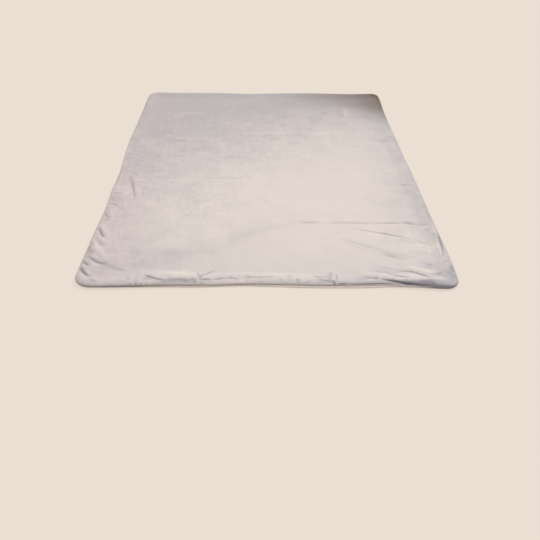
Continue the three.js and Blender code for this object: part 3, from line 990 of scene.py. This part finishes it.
class Finish:
    """A material and its nodes, made through one method."""

    def __init__(self, name, roughness, **fixed):
        self.material = bpy.data.materials.new(name)
        self.material.use_nodes = True
        self.tree = self.material.node_tree
        self.surface = self.tree.nodes["Principled BSDF"]
        self.surface.inputs["Roughness"].default_value = roughness
        for socket, value in fixed.items():
            self.surface.inputs[socket.replace("_", " ")].default_value = value

    def node(self, kind, settings, values, output=0):
        """Adds a node of this kind: first its settings, then values or links. Returns an output."""
        made = self.tree.nodes.new(kind)
        for setting, value in settings.items():
            setattr(made, setting, value)
        for socket, value in values.items():
            if isinstance(value, Signal):
                self.tree.links.new(value.socket, made.inputs[socket])
            else:
                made.inputs[socket].default_value = value
        return Signal(self, made.outputs[output])

    def place(self):
        """Object coordinates."""
        return self.node("ShaderNodeTexCoord", {}, {}, "Object")

    def painted(self, name):
        """The value of the panel's own attribute of this name."""
        return self.node("ShaderNodeAttribute", {"attribute_name": name}, {}, "Fac")

    def noise(self, place, stretch, scale, detail=2.0, turn=0.0, swirl=0.0):
        """Noise of about 0 to 1 whose pattern is stretched along x, y and z."""
        values = {"Vector": place, "Rotation": (0, 0, turn), "Scale": stretch}
        stretched = self.node("ShaderNodeMapping", {}, values)
        pattern = {"Vector": stretched, "Scale": scale, "Detail": detail, "Distortion": swirl}
        return self.node("ShaderNodeTexNoise", {}, pattern)

    def tinted(self, share, low, high):
        """A colour from low to high by share."""
        first, second = (end if isinstance(end, Signal) else (*end, 1) for end in (low, high))
        return self.node("ShaderNodeMix", {"data_type": "RGBA"}, {0: share, 6: first, 7: second}, 2)

    def bump(self, height, strength, distance):
        """Normals of a relief whose height of 0 to 1 stands for 0 to distance, in metres."""
        values = {"Height": height, "Strength": strength, "Distance": distance}
        return self.node("ShaderNodeBump", {}, values)

    def worn_by(self, thing):
        thing.data.materials.clear()
        thing.data.materials.append(self.material)

    def connect(self, **signals):
        """Links signals to the surface's sockets."""
        for socket, signal in signals.items():
            self.tree.links.new(signal.socket, self.surface.inputs[socket.replace("_", " ")])


PILE_LIT = (0.766, 0.681, 0.631)  # painted light: the pile where it is lit
PILE_SHADED = (0.508, 0.466, 0.470)  # painted shade: the pile where it is shaded
PILE_CORNER_SHADE = (0.145, 0.101, 0.070)  # painted shade at the far right corner
PILE_BLUISH_SHADE = (0.450, 0.450, 0.530)  # painted shade, where it looks bluish
PILE_ROSY = (0.650, 0.465, 0.490)  # combed across, at the left side
PILE_GROOVE_SHADE = (0.20, 0.182, 0.190)  # painted shade in the grooves and under the roll
COOL_MOST = 0.42  # share of the bluish shade colour, where it is most
ROSY_MOST = 0.15  # share of the rosy colour where it is combed across

# Patterns in the pile: stretch along x, y and z, scale, detail, turn in radians, swirl
MOTTLE = ((0.8, 1, 1), 9.0, 5.0)
STREAKS = ((1, 0.20, 1), 52.0, 3.0, 0.10, 0.6)
WISPS = ((0.38, 1, 1), 42.0, 3.0, -0.15, 0.8)
GRAIN = ((1, 1, 1), 420.0, 2.0)
TUFTS = ((1, 1, 1), 120.0, 2.0)
STROKES = ((1, 0.5, 1), 78.0, 3.0, 0.6, 0.5)
COMBED_MORE = 0.8  # how much stronger the fine ones are where the pile is combed across
SHADE_ALL_OVER = 0.03  # painted shade added all over


def plush_finish(name, lightness):
    """Short brushed pile: mottled tone, brush streaks along the length, a fine grain of hairs, and
    painted light and shade from the panel's attributes.
    """
    finish = Finish(name, 0.92, Sheen_Weight=0.15, Sheen_Roughness=0.5, Specular_IOR_Level=0.1)
    place = finish.place()
    patterns = (MOTTLE, STREAKS, WISPS, GRAIN, TUFTS, STROKES)
    mottle, streaks, wisps, grain, tufts, strokes = (finish.noise(place, *p) for p in patterns)
    fine = 0.16 * (streaks - 0.5) + 0.26 * (wisps - 0.5) + 0.22 * (strokes - 0.5)
    combed_across = finish.painted("combed")
    fine = fine * (1 + COMBED_MORE * combed_across)
    brushed = finish.painted("marks") * (0.40 * (mottle - 0.5) + fine) + 0.12 * (grain - 0.5)
    # lean: painted shade, 0 lit and 1 shaded, with the pile's own mottle and brush marks on it
    lean = (finish.painted("shade_and_nap") + SHADE_ALL_OVER + brushed - lightness).clamped()
    colour = finish.tinted(lean, PILE_LIT, PILE_SHADED)
    # Painted shade turns bluish towards the near right corner and along the right side
    colour = finish.tinted(finish.painted("bluish_shade") * lean * COOL_MOST, colour, PILE_BLUISH_SHADE)
    colour = finish.tinted(combed_across * ROSY_MOST, colour, PILE_ROSY)
    # Painted shade at the far right corner
    colour = finish.tinted(finish.painted("corner_shade").clamped(), colour, PILE_CORNER_SHADE)
    # Painted shade in the grooves and on the lower side of the roll at the seam
    colour = finish.tinted(finish.painted("groove_and_seam_shade").clamped(), colour, PILE_GROOVE_SHADE)
    height = 0.35 * grain + 0.45 * tufts + 0.2 * streaks
    finish.connect(Base_Color=colour, Normal=finish.bump(height, 0.35, 0.0015))
    return finish


THREAD_SHADED = (0.62, 0.58, 0.55)  # between the strands
THREAD_LIT = (0.74, 0.70, 0.66)
TWIST = ((1, 0.3, 1), 2500.0, 1.0, 0.8)  # a pattern, as of the pile


def thread_finish():
    """Closing thread: light twisted yarn with a faint gloss."""
    finish = Finish("closing_thread_finish", 0.6, Sheen_Weight=0.2)
    twist = finish.noise(finish.place(), *TWIST)
    colour = finish.tinted(twist, THREAD_SHADED, THREAD_LIT)
    finish.connect(Base_Color=colour, Normal=finish.bump(twist, 0.4, 0.0002))
    return finish


THREAD = 0.0007  # thickness
THREAD_SIDES, THREAD_STEPS = 6, 7
STITCH_SLANT = 0.0022  # how much further along the seam a stitch ends than it starts
STITCH_LOW, STITCH_HIGH = 0.0135, 0.0042  # insets of its ends, on the lip and on the roll
STITCH_ARCH = (0, -0.0012, 0.0004)  # how far its middle stands off the line between them
ROW_GAP = 1e-4


def near_row(x, inset):
    """Spots in a row along the near edge, with a row at ROW_GAP on either side for the normals."""
    return np.tile(x, (3, 1)), 0 * x + inset + np.array([[-ROW_GAP], [0], [ROW_GAP]]) - LENGTH / 2


def closing_thread():
    """Hand stitches across the seam: short arched tubes from the lip over the seam to the roll.

    Each is a ring of radius THREAD / 2 carried along a quadratic curve through three points.
    """
    count = round((CLOSING_TO - CLOSING_FROM) / STITCH_PITCH)
    at = np.linspace(CLOSING_FROM, CLOSING_TO, count)
    low = back_top(*near_row(at - STITCH_SLANT / 2, STITCH_LOW))[1]
    high = face_top(*near_row(at + STITCH_SLANT / 2, STITCH_HIGH))[1]
    middle = (low + high) / 2 + STITCH_ARCH
    t = np.linspace(0, 1, THREAD_STEPS)[:, None, None]
    path = (1 - t) ** 2 * low + 2 * t * (1 - t) * (2 * middle - (low + high) / 2) + t**2 * high
    way = np.gradient(path, axis=0)
    way /= np.linalg.norm(way, axis=-1, keepdims=True)
    side = np.cross(way, (1.0, 0, 0))
    side /= np.linalg.norm(side, axis=-1, keepdims=True)
    other = np.cross(way, side)
    angle = np.linspace(0, 2 * math.pi, THREAD_SIDES, endpoint=False)[:, None, None, None]
    tube = path + THREAD / 2 * (np.cos(angle) * side + np.sin(angle) * other)
    points = tube.transpose(2, 1, 0, 3).reshape(-1, 3)
    index = np.arange(len(points)).reshape(count, THREAD_STEPS, THREAD_SIDES)
    walls = squares(np.concatenate([index, index[..., :1]], axis=2))
    fan = np.arange(1, THREAD_SIDES - 1)
    ends = []
    for ring, second, third in ((index[:, 0], fan + 1, fan), (index[:, -1], fan, fan + 1)):
        first = 0 * ring[:, fan] + ring[:, :1]
        ends.append(np.stack([first, ring[:, second], ring[:, third]], -1).reshape(-1, 3))
    return mesh_of("closing_thread", points, walls, np.concatenate(ends))


OFF_CENTRE = tuple(outline_centre())

# Grids of the panels: stretches of (end, step) between the edges' own lines
FACE_X = in_metres([
    (-560, 4.2), (-310, 5), (-235, 2.8), (215, 6.2), (300, 2.8), (540, 4.6), (660, 3.4),
])
FACE_Y = in_metres([(-800, 3.6), (-500, 6.2), (-100, 9.5), (910, 15.5)])
SIDE_EDGE, NEAR_EDGE, FAR_EDGE = edge_insets(14, 18), edge_insets(14, 24), edge_insets(14, 8)
BACK_X = in_metres([(660, 12)])
BACK_Y = in_metres([(910, 25)])
BACK_EDGE = edge_insets(7, 7)

# Attributes that the finish reads, each with its rule. Most hold painted light and shade.
BACK_TONES = {"shade_and_nap": shade_and_nap, "corner_shade": corner_shade, "bluish_shade": bluish_shade, "marks": marks, "combed": combed}
FACE_TONES = {
    **BACK_TONES,
    # Painted shade of the face panel, plus that of the roll's outer side, less painted crest
    # highlights
    "shade_and_nap": lambda spot: shade_and_nap(spot) + edge_shade(spot) - RAISED_LIGHT * raised(spot),
    # Painted shade in the grooves and under the roll
    "groove_and_seam_shade": lambda spot: np.maximum(groove_shade(spot.x, spot.y), seam_shade(spot)),
}
face_panel = panel_mesh(
    "face_plush_panel",
    grid_lines(WIDTH, SIDE_EDGE, FACE_X, SIDE_EDGE),
    grid_lines(LENGTH, NEAR_EDGE, FACE_Y, FAR_EDGE),
    face_top,
    face_under,
    FACE_TONES,
)
back_panel = panel_mesh(
    "back_plush_panel",
    grid_lines(WIDTH, BACK_EDGE, BACK_X, BACK_EDGE),
    grid_lines(LENGTH, BACK_EDGE, BACK_Y, BACK_EDGE),
    back_top,
    back_under,
    BACK_TONES,
)
thread = closing_thread()

BACK_LIGHTER = 0.40  # how much lighter the back panel's painted shade is
plush_finish("face_plush_finish", 0.0).worn_by(face_panel)
plush_finish("back_plush_finish", BACK_LIGHTER).worn_by(back_panel)
thread_finish().worn_by(thread)

for piece in (face_panel, back_panel, thread):
    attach(piece, BODY)
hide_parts("face_panel")
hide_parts("back_panel")

# Floor
FLOOR_SIZE = 40.0
FLOOR_DROP = 0.0002  # below the blanket's underside
half = FLOOR_SIZE / 2
floor_points = np.array([(-half, -half, 0), (half, -half, 0), (half, half, 0), (-half, half, 0)])
floor_points[:, 2] -= FLOOR_DROP
floor = mesh_of("floor", floor_points, np.array([[0, 1, 2, 3]]), np.zeros((0, 3), int))
FLOOR_COLOUR = np.array((0.830, 0.740, 0.655))
FLOOR_GLOW = 0.75  # share of the floor's brightness that is its own, as on a lit table
floor_finish = Finish(
    "floor_finish",
    1.0,
    Specular_IOR_Level=0.0,
    Base_Color=(*(FLOOR_COLOUR * (1 - FLOOR_GLOW)), 1),
    Emission_Color=(*(FLOOR_COLOUR * FLOOR_GLOW), 1),
    Emission_Strength=1.0,
)
floor_finish.worn_by(floor)

# Light: a soft sky all round, a high fill and a soft key from the far right
scene = bpy.context.scene
scene.view_settings.view_transform = "Standard"
world = bpy.data.worlds.new("studio")
world.use_nodes = True
SKY_COLOUR = (1, 0.985, 0.965, 1)
SKY_STRENGTH = 0.44
sky = world.node_tree.nodes["Background"].inputs
sky["Color"].default_value = SKY_COLOUR
sky["Strength"].default_value = SKY_STRENGTH
scene.world = world


def soft_sun(name, azimuth, height, share, width):
    """A wide distant light: azimuth from +Y towards +X, height above the floor and width, all in
    degrees. Share is the part of the floor's light that it gives.
    """
    around, up = math.radians(azimuth), math.radians(height)
    sun = bpy.data.lights.new(name, "SUN")
    sun.energy = share * math.pi / math.sin(up)
    sun.angle = math.radians(width)
    level = math.cos(up)
    toward = Vector((math.sin(around) * level, math.cos(around) * level, math.sin(up)))
    lamp = bpy.data.objects.new(name, sun)
    lamp.rotation_euler = toward.to_track_quat("Z", "Y").to_euler()
    bpy.context.collection.objects.link(lamp)


soft_sun("key", azimuth=38, height=40, share=0.35, width=25)
soft_sun("fill", azimuth=-60, height=75, share=0.21, width=60)

# Camera, at the photograph's place: eye height, pitch down, turn to the right, and roll
CAMERA_PLACE = (-0.058, -2.663, 1.3955)
PITCH, YAW, ROLL = math.radians(38.07), math.radians(1.967), math.radians(1.332)
LENS, SENSOR = 37.73, 36  # millimetres
forward = math.cos(PITCH)
ahead = Vector((math.sin(YAW) * forward, math.cos(YAW) * forward, -math.sin(PITCH)))
level = Vector((math.cos(YAW), -math.sin(YAW), 0))
upright = level.cross(ahead)
right = level * math.cos(ROLL) + upright * math.sin(ROLL)
above = upright * math.cos(ROLL) - level * math.sin(ROLL)
camera_data = bpy.data.cameras.new("camera")
camera_data.lens = LENS
camera_data.sensor_width = SENSOR
camera = bpy.data.objects.new("camera", camera_data)
turn = Matrix((right, above, -ahead)).transposed().to_4x4()
camera.matrix_world = Matrix.Translation(CAMERA_PLACE) @ turn
bpy.context.collection.objects.link(camera)
scene.camera = camera
